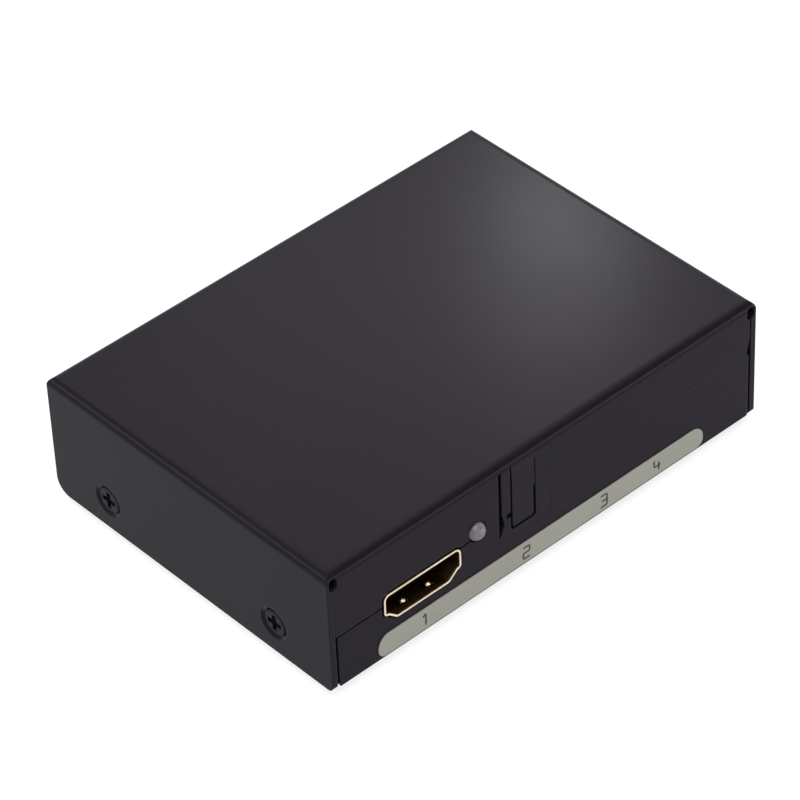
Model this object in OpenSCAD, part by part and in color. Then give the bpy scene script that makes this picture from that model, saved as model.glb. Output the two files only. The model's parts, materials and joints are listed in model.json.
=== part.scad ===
// HDMI audio extractor: a folded sheet-metal box with its circuit board and sockets.
// Millimetres. X runs along the front from left to right, Y to the rear, Z up.
// The origin is the centre of the footprint, on the surface that the feet stand on.

/* [Case] */
// Width along the front
case_w = 84; // [80:0.5:92]
// Depth from front to rear
case_d = 60; // [58:0.5:70]
// Height of the case without its feet
case_h = 21.5; // [21.5:0.1:24]
// Thickness of the sheet metal
sheet_t = 1; // [0.8:0.05:1]
// Outside radius of the bends round the top
top_bend_r = 1.5; // [1.3:0.1:2]
// Outside radius of the bends along the base
base_bend_r = 0.5; // [0.3:0.05:0.8]
// Rounding of the rear lower corners of the side walls, and of the side tabs
side_corner_r = 2.6; // [1:0.1:3.5]
// Rounding of the front lower corners of the side walls
front_corner_r = 1; // [0.6:0.1:2.6]
// Rounding of the lower corners of the front and rear walls of the base
base_corner_r = 0.8; // [0.4:0.1:1.5]
// Height of the front seam on the left of its port
seam_left_h = 9.7; // [8.6:0.1:10]
// Height of the front seam between its port and the light
seam_middle_h = 11.3; // [11:0.1:11.6]
// Height of the front seam on the right of the light, and of the rear seam
seam_right_h = 12.2; // [11.8:0.1:12.6]
// Gap along the seam between the upper and the lower shell
seam_gap = 0.3; // [0.1:0.05:0.5]
// Gap along the front seam on the right of the light
seam_right_gap = 0.06; // [0.04:0.02:0.2]
// Width of the cut corner where the front seam ends on the right
seam_corner_w = 0.6; // [0.3:0.1:0.8]
// Height of that cut corner
seam_corner_h = 2.8; // [1:0.1:3.2]
// Gap between the ends of the lower walls and the side walls
wall_end_gap = 0.4; // [0.2:0.05:0.8]
// Slit between the right end of each upper flange and the side wall next to it
corner_slit = 0.3; // [0.1:0.05:0.4]
// Slit between the left end of each upper flange and the side wall next to it
closed_slit = 0.06; // [0.04:0.02:0.4]
// Width of the relief hole where two bends meet
corner_hole_w = 1.5; // [1:0.1:1.8]
// Height of that hole
corner_hole_h = 2; // [1:0.1:2.2]
// Depth to which that hole cuts into the side wall
corner_hole_reach = 0.6; // [0.1:0.05:0.7]
// Gap between the side tabs of the base and the side walls
tab_gap = 0.1; // [0.05:0.05:0.2]
// Width of each side tab
tab_w = 11; // [9:0.5:14]
// Height of each side tab
tab_h = 9.5; // [8.5:0.1:11]

/* [Feet] */
// Diameter of a foot
foot_d = 8; // [6:0.5:10]
// Height of a foot
foot_h = 1.2; // [0.8:0.1:2]
// Distance from the side of the case to the middle of a foot
foot_inset = 9; // [7:0.5:12]
// Width of the bevel round the lower edge of a foot
foot_bevel = 0.3; // [0.1:0.05:0.5]

/* [Side screws] */
// Distance of each screw from the middle of the side
side_screw_y = 18; // [15:0.5:20]
// Height of each screw above the bottom of the case
side_screw_z = 5.2; // [4.5:0.1:6]
// Thread diameter
side_screw_d = 2.5; // [2:0.1:2.6]
// Length of the screw with its head
side_screw_l = 3.8; // [3:0.1:4.2]
// Head diameter
side_head_d = 4.2; // [4:0.1:4.6]
// Diameter of the countersink at the wall's face
side_sink_d = 5.4; // [4.9:0.1:5.6]
// Depth of the countersink
side_sink_h = 0.95; // [0.85:0.05:0.95]

/* [Label strip] */
// Distance of the strip's left end from the left side of the case
strip_left_inset = 8.6; // [6:0.1:12]
// Distance of the strip's right end from the right side of the case
strip_right_inset = 11; // [6:0.1:16]
// Lower edge of the strip
strip_bottom = 0.75; // [0.5:0.05:0.9]
// Upper edge of the strip
strip_top = 4.6; // [4:0.1:4.9]
// Thickness of the strip
strip_t = 0.2; // [0.1:0.05:0.3]

/* [HDMI ports] */
// Distance of the front port's middle from the left side of the case
hdmi_out_inset = 17.3; // [15.5:0.1:18]
// Distance of the rear port's middle from the left side of the case
hdmi_in_inset = 22; // [18:0.1:26]
// Height of the middle of both ports
port_z = 9; // [8.8:0.1:9.2]
// Width of the mouth inside the metal shell
port_w = 14; // [13.9:0.05:14.1]
// Height of the mouth inside the metal shell
port_h = 4.6; // [4.5:0.05:4.7]
// Height of the straight sides of the mouth
port_side_h = 3.1; // [2.8:0.1:3.3]
// Inward reach of the shoulder under each straight side
port_step_w = 0.65; // [0.5:0.05:0.8]
// Fall of that shoulder
port_step_h = 0.2; // [0.1:0.05:0.3]
// Width of the flat floor of the mouth
port_floor_w = 9.7; // [9.4:0.1:10]
// Radius of the upper corners of the mouth
port_corner_r = 0.8; // [0.4:0.1:1]
// Thickness of the port's metal shell
port_shell_t = 0.3; // [0.3:0.05:0.45]
// Length of the port's metal shell
port_depth = 12; // [11:0.1:13]
// Reach of the port beyond the panel
port_proud = 0.15; // [0:0.05:0.4]
// Gap between the port's shell and the hole in the panel
port_gap = 0.3; // [0.15:0.05:0.35]

/* [Optical port] */
// Distance of the aperture's middle from the left side of the case
optical_inset = 36.85; // [36.5:0.05:37.2]
// Width of the moulded housing on the left of the aperture's middle
optical_left_w = 4.15; // [4.1:0.05:4.3]
// Width of the moulded housing on the right of the aperture's middle
optical_right_w = 5.2; // [4.6:0.1:5.4]
// Lowest point of the bezel
bezel_bottom_z = 7.2; // [7.1:0.05:7.3]
// Highest point of the bezel
bezel_top_z = 20.1; // [19.9:0.05:20.2]
// Width of the aperture
aperture_w = 4.9; // [4.8:0.05:5]
// Lowest point of the aperture
aperture_bottom_z = 8.3; // [8.2:0.05:8.5]
// Highest point of the aperture
aperture_top_z = 18.95; // [18.9:0.05:19]
// Rounding of the aperture's lower corners
aperture_corner_r = 0.5; // [0.3:0.1:0.8]
// Gap round the part of the shutter that fills the aperture
shutter_gap = 0.4; // [0.25:0.05:0.5]
// Depth of the shutter's face behind the panel
shutter_sink = 0.05; // [0.02:0.01:0.1]
// Depth of the shutter's plate behind the panel
shutter_recess = 0.6; // [0.5:0.05:0.7]
// Thickness of the shutter's plate
shutter_t = 0.6; // [0.5:0.05:0.7]
// Distance of the hinge axis behind the front of the shutter's plate
hinge_offset = 1.5; // [1.5:0.05:1.6]
// Height of the hinge axis
hinge_z = 18.7; // [18.6:0.05:18.75]
// Diameter of the hinge pin
hinge_pin_d = 0.8; // [0.7:0.05:0.8]
// Gap on the left of the bezel
bezel_gap_left = 0.6; // [0.3:0.05:0.7]
// Gap on the other sides of the bezel
bezel_gap = 0.04; // [0.03:0.01:0.1]

/* [Status light] */
// Distance of the light from the left side of the case
led_inset = 27.9; // [27.6:0.1:28.4]
// Height of the light
led_z = 12.3; // [12:0.1:13]
// Diameter of the lens
led_d = 3; // [2.8:0.1:3]
// Length of the lens
led_l = 5.3; // [5:0.1:5.6]
// Reach of the lens beyond the panel
led_proud = 1.1; // [0.6:0.1:1.4]
// Gap round the lens in the panel
led_gap = 0.2; // [0.05:0.05:0.3]

/* [Power socket] */
// Distance of the socket's middle from the right side of the case
jack_inset = 13; // [11:0.5:14]
// Height of the socket's axis above the board
jack_axis_h = 6.5; // [6:0.1:7]
// Bore of the socket
jack_bore_d = 6.3; // [6:0.1:6.5]
// Diameter of the contact pin
jack_pin_d = 2.1; // [2:0.05:2.5]
// Depth of the bore
jack_bore_l = 9.5; // [9:0.1:10]
// Width of the moulded body
jack_w = 9; // [8.6:0.1:9.6]
// Height of the moulded body
jack_h = 11; // [10.6:0.1:12]
// Length of the moulded body
jack_l = 13; // [12:0.1:14]

/* [Mode switch] */
// Distance of the switch's middle from the left side of the case
switch_inset = 47; // [42:0.5:50]
// Height of the knob's middle above the board
switch_axis_h = 2.9; // [2.8:0.1:3.2]
// Travel of the knob to either side of its middle place
switch_travel = 2; // [1.5:0.1:2]
// Width of the metal frame
switch_w = 10; // [10:0.1:12]
// Depth of the metal frame
switch_d = 5.5; // [5:0.1:6]
// Thickness of the frame's metal
switch_t = 0.3; // [0.25:0.05:0.35]
// Width of the knob
knob_w = 3; // [2.6:0.1:3.2]
// Height of the knob
knob_h = 2.5; // [2.2:0.1:2.6]
// Reach of the knob beyond the panel
knob_proud = 1.1; // [0.8:0.1:2.5]

/* [Circuit board] */
// Room between the board's ends and the outside of the side walls
board_side_room = 5.5; // [5:0.5:6.5]
// Room between the board's edges and the outside of the front and rear walls
board_end_room = 3; // [2.5:0.5:3.5]
// Thickness of the board
board_t = 1.6; // [1.5:0.1:1.7]
// Distance of the board screws from the board's edges
board_screw_inset = 4; // [3.5:0.1:4.5]
// Distance of the two screws that stand behind sockets from the outside of the wall in front of them
board_inner_screw_inset = 18; // [17.5:0.5:19]
// Thread diameter of the board screws
board_screw_d = 2.5; // [2:0.1:2.6]
// Length of the board screws under the head
board_screw_l = 4.2; // [3.5:0.1:4.5]

/* [Hidden] */

$fn = 48;
// Straight steps in a quarter of a drawn round
arc_steps = 8;
// Overrun of every cut
cut = 1;
// Clearance of a piece that sits still in another
seat_fit = 0.02;
// Clearance of a piece that slides or turns in another
running_fit = 0.05;
// Least gap between pieces that only pass each other
pass_gap = 0.1;

// Case
front = -case_d / 2;
rear = case_d / 2;
right = case_w / 2;
front_inner = front + sheet_t;
rear_inner = rear - sheet_t;
side_inner = right - sheet_t;
lower_wall_right = side_inner - wall_end_gap;
tab_right = side_inner - tab_gap;
top_inner = case_h - sheet_t;
strip_left = -right + strip_left_inset;
strip_right = right - strip_right_inset;

// Side screws: their cone lies against the countersink, with a rim and a low crown above it
side_rim_h = 0.15;
side_crown_h = 0.1;
side_cone_h = side_sink_h * (side_head_d - side_screw_d) / (side_sink_d - side_screw_d - 2 * pass_gap) - running_fit;
side_head_h = side_cone_h + side_rim_h + side_crown_h;

// Ports and board
hdmi_out_x = -right + hdmi_out_inset;
hdmi_in_x = -right + hdmi_in_inset;
led_x = -right + led_inset;
jack_x = right - jack_inset;
switch_x = -right + switch_inset;
board_w = case_w - 2 * board_side_room;
board_d = case_d - 2 * board_end_room;
port_outer_h = port_h + 2 * port_shell_t;
board_top = port_z - port_outer_h / 2;
board_bottom = board_top - board_t;
board_screw_x = board_w / 2 - board_screw_inset;
board_outer_screw_y = board_d / 2 - board_screw_inset;
board_inner_screw_y = rear - board_inner_screw_inset;
board_screw_gap = 0.15;
board_head_d = 4.6;
board_head_h = 1.5;
standoff_d = 5.6;
recess_w = 0.85;
recess_l_share = 0.66;
recess_h_share = 0.7;
port_small_r = 0.3;
port_floor_r = 0.5;
port_leg_w = 1.2;
port_leg_places = [4.2, 9.8];
port_leg_out = 0.7;
leg_slot_gap = 0.15;
port_block_l = 3;
tongue_w = 11.2;
tongue_t = 1.3;
tongue_inset = 2.2;
contact_w = 0.3;
contact_t = 0.15;
contact_pitch = 1;
contact_inset = 0.5;
upper_tail = 1.5;
lower_tail = 0.8;
tail_foot = 0.8;
finger_w = 1.6;
finger_l = 4.5;
finger_x = 2.4;
finger_start = 1.1;
finger_slot = 0.25;
finger_bump_r = 0.5;
finger_bump_sink = 0.15;

// Optical port
optical_x = -right + optical_inset;
optical_left = optical_x - optical_left_w;
optical_right = optical_x + optical_right_w;
optical_body_front = front_inner + running_fit;
lip_t = shutter_recess - running_fit;
cavity_side = 0.3;
cavity_left = optical_x - aperture_w / 2 - cavity_side;
cavity_right = optical_x + aperture_w / 2 + cavity_side;
shutter_face = front + shutter_recess;
hinge_y = shutter_face + hinge_offset;
shutter_above = 0.3;
barrel_r = 0.8;
cavity_top = hinge_z + barrel_r + pass_gap;
shutter_foot = 0.15;
shutter_bottom = aperture_bottom_z - shutter_foot;
sweep_r = norm([hinge_offset, hinge_z - shutter_bottom]);
cavity_floor = hinge_z - sweep_r - pass_gap;
cavity_rear = hinge_y + sweep_r + 2 * pass_gap;
cavity_wall = 1.2;
optical_rear = cavity_rear + cavity_wall;
light_z = aperture_bottom_z + aperture_w * 3 / 5;
light_d = 2.6;
guide_d = 4.4;
guide_l = 1.2;
key_w = 0.8;
key_low = 10.9;
key_high = 11.8;
narrow_gap_z = 14.2;
groove_w = 0.25;
groove_t = 0.4;
relief_high = 12.2;
relief_middle = 10.2;
relief_w = 0.5;
spring_wire_d = 0.22;
spring_pin_gap = 0.11;
spring_r = hinge_pin_d / 2 + spring_pin_gap + spring_wire_d / 2;
spring_half_w = 0.6;
spring_turns = 3;
spring_leg = 3;
spring_stub = 0.7;
emitter_w = 8;
emitter_h = 8.6;
emitter_l = 3.6;
emitter_nose_d = 2.2;
emitter_nose_l = 0.8;
lead_w = 0.5;
lead_t = 0.3;

// Status light
led_flange_d = 3.8;
led_flange_l = 1;
led_rear = front - led_proud + led_l;
led_lead_pitch = 1.27;
led_lead_l = 1.6;

// Power socket
jack_z = board_top + jack_axis_h;
jack_front = rear_inner - running_fit;
jack_nose_d = 7.8;
jack_nose_proud = 0.1;
jack_nose_gap = 0.15;
jack_mouth_bevel = 0.35;
jack_pin_recess = 0.8;
jack_pin_tail = 1.5;
jack_mouth = rear + jack_nose_proud;
jack_rear = jack_front - jack_l;
jack_bore_end = jack_mouth - jack_bore_l;
spring_slot_w = 2.4;
spring_leaf_w = 2;
leaf_t = 0.35;
leaf_reach = 0.35;

// Mode switch
switch_z = board_top + switch_axis_h;
switch_front = rear_inner - 2 * pass_gap;
switch_h = 2 * switch_axis_h;
switch_back = switch_front - switch_d;
slider_l = 2;
slider_w = switch_w - 2 * switch_t - 2 * switch_travel - 2 * pass_gap;
slider_front = switch_front - switch_t - running_fit;
slider_back = slider_front - slider_l;
knob_window_gap = 0.2;
panel_slot_gap = 0.35;
switch_lead_pitch = 2;

// Parts on the board
main_chip_w = 14;
main_chip_h = 1.4;
chip_lift = 0.1;
main_chip_shares = [0.055, 0.093];
main_lead_count = 12;
main_lead_pitch = 0.9;
lead_reach = 1;
lead_foot = 0.5;
fine_lead_w = 0.3;
fine_lead_t = 0.15;
audio_chip_w = 9.9;
audio_chip_d = 3.9;
audio_chip_h = 1.5;
audio_chip_shares = [0.19, -0.205];
audio_lead_count = 8;
audio_lead_pitch = 1.27;
regulator_size = [6.5, 3.5, 1.6];
regulator_shares = [0.19, 0.333];
regulator_tab_w = 3;
regulator_tab_l = 1.7;
regulator_tab_t = 0.3;
regulator_pitch = 2.3;
crystal_w = 4.6;
crystal_l = 11.2;
crystal_h = 3.6;
crystal_rim = 0.4;
crystal_shares = [-0.19, 0.075];
capacitor_d = 6.3;
capacitor_h = 5.4;
capacitor_base_w = 6.6;
capacitor_base_h = 0.8;
capacitor_groove = 0.3;
capacitor_shares = [[0.33, 0.148], [0.33, -0.037], [-0.356, 0.037]];
inductor_w = 7;
inductor_h = 4;
inductor_bevel = 1;
inductor_shares = [0.356, -0.222];
resistor_size = [2, 1.25, 0.6];
resistor_count = 6;
resistor_pitch = 3;
resistor_row_shares = [[-0.11, 0.296], [-0.123, -0.12]];

// Shape helpers

function unit(v) = v / norm(v);

function turned(v) = [-v[1], v[0]];

function corner_points(a, p, b, r, steps) =
    r <= 0 ? [p] :
    let (u = unit(a - p),
         v = unit(b - p),
         half = acos(u * v) / 2,
         c = p + unit(u + v) * r / sin(half),
         s = p + u * r / tan(half) - c,
         e = p + v * r / tan(half) - c,
         start = atan2(s[1], s[0]),
         swing = atan2(e[1], e[0]) - start,
         sweep = swing > 180 ? swing - 360 : swing < -180 ? swing + 360 : swing)
    [for (i = [0:steps]) c + r * [cos(start + sweep * i / steps), sin(start + sweep * i / steps)]];

function rounded(points, radii, steps = arc_steps) =
    let (n = len(points))
    [for (i = [0:n - 1])
        each corner_points(points[(i + n - 1) % n], points[i], points[(i + 1) % n], radii[i], steps)];

function rectangle(low, high) = [low, [high[0], low[1]], high, [low[0], high[1]]];

// Moves every side of a clockwise outline outwards
function grown(points, g) =
    let (n = len(points))
    [for (i = [0:n - 1])
        let (p = points[i],
             a = turned(unit(p - points[(i + n - 1) % n])),
             b = turned(unit(points[(i + 1) % n] - p)))
        p + g * (a + b) / (1 + a * b)];

// Point on the top of the board, by shares of the board's width and depth from its middle
function board_spot(shares) = [shares[0] * board_w, shares[1] * board_d, board_top];

module span(low, high) {
    translate(low) cube(high - low);
}

module along_x(outline, x0, x1) {
    translate([x0, 0, 0]) rotate([90, 0, 90]) linear_extrude(x1 - x0) polygon(outline);
}

module along_y(outline, y0, y1) {
    translate([0, y1, 0]) rotate([90, 0, 0]) linear_extrude(y1 - y0) polygon(outline);
}

module along_z(outline, z0, z1) {
    translate([0, 0, z0]) linear_extrude(z1 - z0) polygon(outline);
}

module rod_x(y, z, r, x0, x1) {
    translate([x0, y, z]) rotate([0, 90, 0]) cylinder(h = x1 - x0, r = r);
}

module rod_y(x, z, r, y0, y1) {
    translate([x, y1, z]) rotate([90, 0, 0]) cylinder(h = y1 - y0, r = r);
}

module both_ends() {
    children();
    rotate([0, 0, 180]) children();
}

module board_screw_places() {
    for (place = [[-1, board_outer_screw_y], [1, -board_outer_screw_y],
                  [-1, -board_inner_screw_y], [1, board_inner_screw_y]])
        translate([place[0] * board_screw_x, place[1], 0]) children();
}

module on_feet() {
    translate([0, 0, foot_h]) children();
}

// Round wire along a list of points
module wire(path, r, sides = 8) {
    last = len(path) - 1;
    rings = [for (i = [0:last])
        let (t = unit(path[min(i + 1, last)] - path[max(i - 1, 0)]),
             a = unit(cross(t, abs(t[0]) < 0.9 ? [1, 0, 0] : [0, 1, 0])),
             b = cross(t, a))
        for (k = [0:sides - 1]) path[i] + r * (cos(360 * k / sides) * a + sin(360 * k / sides) * b)];
    skin = [for (i = [0:last - 1], k = [0:sides - 1])
        let (p = i * sides + k,
             q = i * sides + (k + 1) % sides)
        each [[p, q + sides, q], [p, p + sides, q + sides]]];
    caps = [[for (k = [0:sides - 1]) k], [for (k = [sides - 1:-1:0]) last * sides + k]];
    polyhedron(rings, concat(skin, caps));
}

// Case

module case_solid() {
    intersection() {
        along_y(rounded(rectangle([-right, 0], [right, case_h]), [0, 0, top_bend_r, top_bend_r]), front, rear);
        along_x(rounded(rectangle([front, 0], [rear, case_h]),
                        [front_corner_r, side_corner_r, top_bend_r, top_bend_r]), -right, right);
    }
}

module case_hollow() {
    r = top_bend_r - sheet_t;
    intersection() {
        along_y(rounded(rectangle([-side_inner, -cut], [side_inner, top_inner]), [0, 0, r, r]),
                front_inner, rear_inner);
        along_x(rounded(rectangle([front_inner, -cut], [rear_inner, top_inner]), [0, 0, r, r]),
                -side_inner, side_inner);
    }
}

// Holes that both shells leave for the sockets, the light and the knob
module panel_openings() {
    front_low = front - cut;
    front_high = front_inner + cut;
    rear_low = rear_inner - cut;
    rear_high = rear + cut;
    translate([hdmi_out_x, 0, port_z]) along_y(port_outline(port_shell_t + port_gap), front_low, front_high);
    translate([hdmi_in_x, 0, port_z]) along_y(port_outline(port_shell_t + port_gap), rear_low, rear_high);
    span([optical_left - bezel_gap_left, front_low, bezel_bottom_z - bezel_gap],
         [optical_right + bezel_gap, front_high, bezel_top_z + bezel_gap]);
    rod_y(led_x, led_z, led_d / 2 + led_gap, front_low, front_high);
    rod_y(jack_x, jack_z, jack_nose_d / 2 + jack_nose_gap, rear_low, rear_high);
    slot_half_w = knob_w / 2 + switch_travel + panel_slot_gap;
    slot_half_h = knob_h / 2 + panel_slot_gap;
    span([switch_x - slot_half_w, rear_low, switch_z - slot_half_h],
         [switch_x + slot_half_w, rear_high, switch_z + slot_half_h]);
}

module side_screw_places() {
    for (side = [0, 180], y = [-side_screw_y, side_screw_y])
        rotate([0, 0, side]) translate([right, y, side_screw_z]) rotate([0, 90, 0]) children();
}

module upper_shell() {
    color([0.17, 0.16, 0.18]) on_feet() difference() {
        case_solid();
        case_hollow();
        span([-side_inner, front - cut, -cut], [hdmi_out_x, front_inner + cut, seam_left_h + seam_gap / 2]);
        span([hdmi_out_x - cut, front - cut, -cut], [led_x, front_inner + cut, seam_middle_h + seam_gap / 2]);
        span([led_x - cut, front - cut, -cut], [side_inner, front_inner + cut, seam_right_h + seam_right_gap / 2]);
        along_y([[side_inner - corner_slit - seam_corner_w, seam_right_h - cut], [side_inner, seam_right_h - cut],
                 [side_inner, seam_right_h + seam_corner_h],
                 [side_inner - corner_slit, seam_right_h + seam_corner_h],
                 [side_inner - corner_slit - seam_corner_w, seam_right_h]], front - cut, front_inner + cut);
        span([-side_inner, rear_inner - cut, -cut], [side_inner, rear + cut, seam_right_h + seam_gap / 2]);
        both_ends() for (side = [0, 1]) mirror([side, 0, 0]) {
            flange_end = side_inner - (side > 0 ? closed_slit : corner_slit);
            hole_x = side_inner + corner_hole_reach - corner_hole_w / 2;
            hole_z = case_h - top_bend_r - corner_hole_h / 5;
            half = [corner_hole_w, corner_hole_h] / 2;
            r = corner_hole_w * 0.45;
            along_y(rounded(rectangle([hole_x, hole_z] - half, [hole_x, hole_z] + half), [r, r, r, r]),
                    front - cut, front_inner + top_bend_r);
            span([flange_end, front - cut, -cut], [side_inner, front_inner + cut, hole_z]);
        }
        panel_openings();
        side_screw_places() {
            translate([0, 0, -sheet_t - cut]) cylinder(h = sheet_t + 2 * cut, r = side_screw_d / 2 + pass_gap);
            translate([0, 0, -side_sink_h])
                cylinder(h = side_sink_h, r1 = side_screw_d / 2 + pass_gap, r2 = side_sink_d / 2);
        }
    }
}

module lower_shell() {
    wall_top = seam_right_h - seam_right_gap / 2;
    channel = rounded(rectangle([front, 0], [rear, wall_top]), [base_bend_r, base_bend_r, 0, 0]);
    ends = rounded(rectangle([-lower_wall_right, 0], [lower_wall_right, case_h]), [base_corner_r, base_corner_r, 0, 0]);
    color([0.15, 0.14, 0.16]) on_feet() difference() {
        union() {
            difference() {
                intersection() {
                    along_x(channel, -lower_wall_right, lower_wall_right);
                    along_y(ends, front, rear);
                }
                span([-right, front_inner, sheet_t], [right, rear_inner, case_h]);
                span([-right, front - cut, seam_left_h - seam_gap / 2], [hdmi_out_x, front_inner + cut, case_h]);
                span([hdmi_out_x - cut, front - cut, seam_middle_h - seam_gap / 2], [led_x, front_inner + cut, case_h]);
            }
            span([-tab_right, front + side_corner_r, 0], [tab_right, rear - side_corner_r, sheet_t]);
            for (side = [0, 180], y = [-side_screw_y, side_screw_y])
                rotate([0, 0, side]) along_x(rounded(rectangle([y - tab_w / 2, 0], [y + tab_w / 2, tab_h]),
                    [0, 0, side_corner_r, side_corner_r]), tab_right - sheet_t, tab_right);
        }
        panel_openings();
        side_screw_places() translate([0, 0, -side_screw_l - cut])
            cylinder(h = side_screw_l + 2 * cut, r = side_screw_d / 2 + seat_fit);
    }
}

// Cross recess, cut downwards from the top of a head
module cross_recess(head_d, head_h) {
    half_l = head_d * recess_l_share / 2;
    depth = head_h * recess_h_share;
    span([-half_l, -recess_w / 2, -depth], [half_l, recess_w / 2, cut]);
    span([-recess_w / 2, -half_l, -depth], [recess_w / 2, half_l, cut]);
}

module side_screws() {
    color([0.1, 0.1, 0.11]) on_feet() side_screw_places() difference() {
        union() {
            translate([0, 0, -side_screw_l]) cylinder(h = side_screw_l - side_sink_h / 2, r = side_screw_d / 2);
            translate([0, 0, -side_sink_h]) cylinder(h = side_cone_h, r1 = side_screw_d / 2, r2 = side_head_d / 2);
            translate([0, 0, side_cone_h - side_sink_h]) cylinder(h = side_rim_h, r = side_head_d / 2);
            translate([0, 0, side_cone_h + side_rim_h - side_sink_h])
                cylinder(h = side_crown_h, r1 = side_head_d / 2, r2 = side_head_d / 2 - 3 * side_crown_h);
        }
        translate([0, 0, side_head_h - side_sink_h]) cross_recess(side_head_d, side_head_h);
    }
}

module label_strip() {
    h = strip_top - strip_bottom;
    high_r = h * 0.56;
    low_r = h * 0.34;
    color([0.62, 0.61, 0.57]) on_feet()
        along_y(rounded(rectangle([strip_left, strip_bottom], [strip_right, strip_top]),
                        [low_r, low_r, high_r, high_r]), front - strip_t, front);
}

module rubber_feet() {
    color([0.08, 0.08, 0.08]) for (sx = [-1, 1], sy = [-1, 1])
        translate([sx * (right - foot_inset), sy * (rear - foot_inset), 0]) {
            cylinder(h = foot_bevel, r1 = foot_d / 2 - foot_bevel, r2 = foot_d / 2);
            translate([0, 0, foot_bevel]) cylinder(h = foot_h - foot_bevel, r = foot_d / 2);
        }
}

// Board and its fixings

module circuit_board() {
    color([0.05, 0.3, 0.14]) on_feet() difference() {
        span([-board_w / 2, -board_d / 2, board_bottom], [board_w / 2, board_d / 2, board_top]);
        board_screw_places() translate([0, 0, board_bottom - cut])
            cylinder(h = board_t + 2 * cut, r = board_screw_d / 2 + board_screw_gap);
        at_hdmi_out() port_legs(leg_slot_gap);
        at_hdmi_in() port_legs(leg_slot_gap);
    }
}

module board_standoffs() {
    color([0.78, 0.78, 0.8]) on_feet() board_screw_places()
        translate([0, 0, sheet_t]) difference() {
            cylinder(h = board_bottom - sheet_t, r = standoff_d / 2, $fn = 6);
            translate([0, 0, -cut]) cylinder(h = board_bottom + cut, r = board_screw_d / 2 + seat_fit);
        }
}

module board_screws() {
    color([0.8, 0.8, 0.82]) on_feet() board_screw_places()
        translate([0, 0, board_top]) difference() {
            union() {
                translate([0, 0, -board_screw_l]) cylinder(h = board_screw_l + board_head_h / 2, r = board_screw_d / 2);
                cylinder(h = board_head_h * 0.6, r = board_head_d / 2);
                translate([0, 0, board_head_h * 0.6])
                    cylinder(h = board_head_h * 0.4, r1 = board_head_d / 2, r2 = board_head_d * 0.36);
            }
            translate([0, 0, board_head_h]) cross_recess(board_head_d, board_head_h);
        }
}

// HDMI ports: mouth at y = 0, middle of the mouth at the origin, body towards +Y

function port_outline(g) =
    let (top = port_h / 2,
         side = top - port_side_h,
         x0 = port_w / 2,
         x1 = x0 - port_step_w,
         x2 = port_floor_w / 2,
         points = [[-x0, top], [x0, top], [x0, side], [x1, side - port_step_h], [x2, -top],
                   [-x2, -top], [-x1, side - port_step_h], [-x0, side]],
         outer = port_corner_r + g,
         small = port_small_r + g,
         hollow = max(0, port_small_r - g),
         low = port_floor_r + g)
    rounded(grown(points, g), [outer, outer, small, hollow, low, low, hollow, small], 5);

module at_hdmi_out() {
    translate([hdmi_out_x, front - port_proud, port_z]) children();
}

module at_hdmi_in() {
    translate([hdmi_in_x, rear + port_proud, port_z]) rotate([0, 0, 180]) children();
}

module port_legs(g) {
    for (side = [0, 1], y = port_leg_places) mirror([side, 0, 0])
        span([port_w / 2 - g, y - g, board_bottom - port_z - port_leg_out - g],
             [port_w / 2 + port_shell_t + g, y + port_leg_w + g, -port_h / 2 + port_side_h / 2 + port_step_h]);
}

module port_finger_slots() {
    for (side = [-1, 1], up = [0, 1]) mirror([0, 0, up]) translate([side * finger_x, finger_start, -port_h / 2])
        difference() {
            span([-finger_w / 2 - finger_slot, 0, -port_shell_t - cut],
                 [finger_w / 2 + finger_slot, finger_l, port_shell_t]);
            span([-finger_w / 2, finger_slot, -port_shell_t - 2 * cut],
                 [finger_w / 2, finger_l + cut, 2 * port_shell_t]);
        }
}

module port_shell() {
    difference() {
        union() {
            along_y(port_outline(port_shell_t), 0, port_depth);
            port_legs(0);
        }
        along_y(port_outline(0), -cut, port_depth + cut);
        port_finger_slots();
    }
    for (side = [-1, 1], up = [0, 1]) mirror([0, 0, up])
        translate([side * finger_x, finger_start + finger_slot + finger_bump_r, -port_h / 2 - finger_bump_sink])
            sphere(r = finger_bump_r);
}

module port_contact_places() {
    tongue_half = tongue_t / 2;
    for (i = [0:9]) translate([(i - 4.5) * contact_pitch, 0, 0]) children(0);
    for (i = [0:8]) translate([(i - 4) * contact_pitch, 0, 0]) children(1);
}

module contact_channel() {
    span([-contact_w / 2 - seat_fit, tongue_inset + contact_inset - seat_fit, tongue_t / 2 - contact_t - seat_fit],
         [contact_w / 2 + seat_fit, port_depth + cut, tongue_t / 2 + seat_fit]);
}

module contact(level, tail) {
    floor_z = board_top - port_z;
    high = max(level, level + contact_t);
    y = port_depth + tail;
    span([-contact_w / 2, tongue_inset + contact_inset, level], [contact_w / 2, y, level + contact_t]);
    span([-contact_w / 2, y - contact_t, floor_z], [contact_w / 2, y, high]);
    span([-contact_w / 2, y - contact_t, floor_z], [contact_w / 2, y + tail_foot, floor_z + contact_t]);
}

module port_insulator() {
    difference() {
        union() {
            along_y(port_outline(-running_fit), port_depth - port_block_l, port_depth);
            span([-tongue_w / 2, tongue_inset, -tongue_t / 2],
                 [tongue_w / 2, port_depth - port_block_l / 2, tongue_t / 2]);
        }
        port_contact_places() {
            contact_channel();
            mirror([0, 0, 1]) contact_channel();
        }
    }
}

module port_contacts() {
    port_contact_places() {
        contact(tongue_t / 2 - contact_t, upper_tail);
        contact(-tongue_t / 2, lower_tail);
    }
}

module hdmi_out_shell() {
    color([0.86, 0.76, 0.55]) on_feet() at_hdmi_out() port_shell();
}

module hdmi_out_insulator() {
    color([0.08, 0.08, 0.08]) on_feet() at_hdmi_out() port_insulator();
}

module hdmi_out_contacts() {
    color([0.9, 0.75, 0.4]) on_feet() at_hdmi_out() port_contacts();
}

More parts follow.
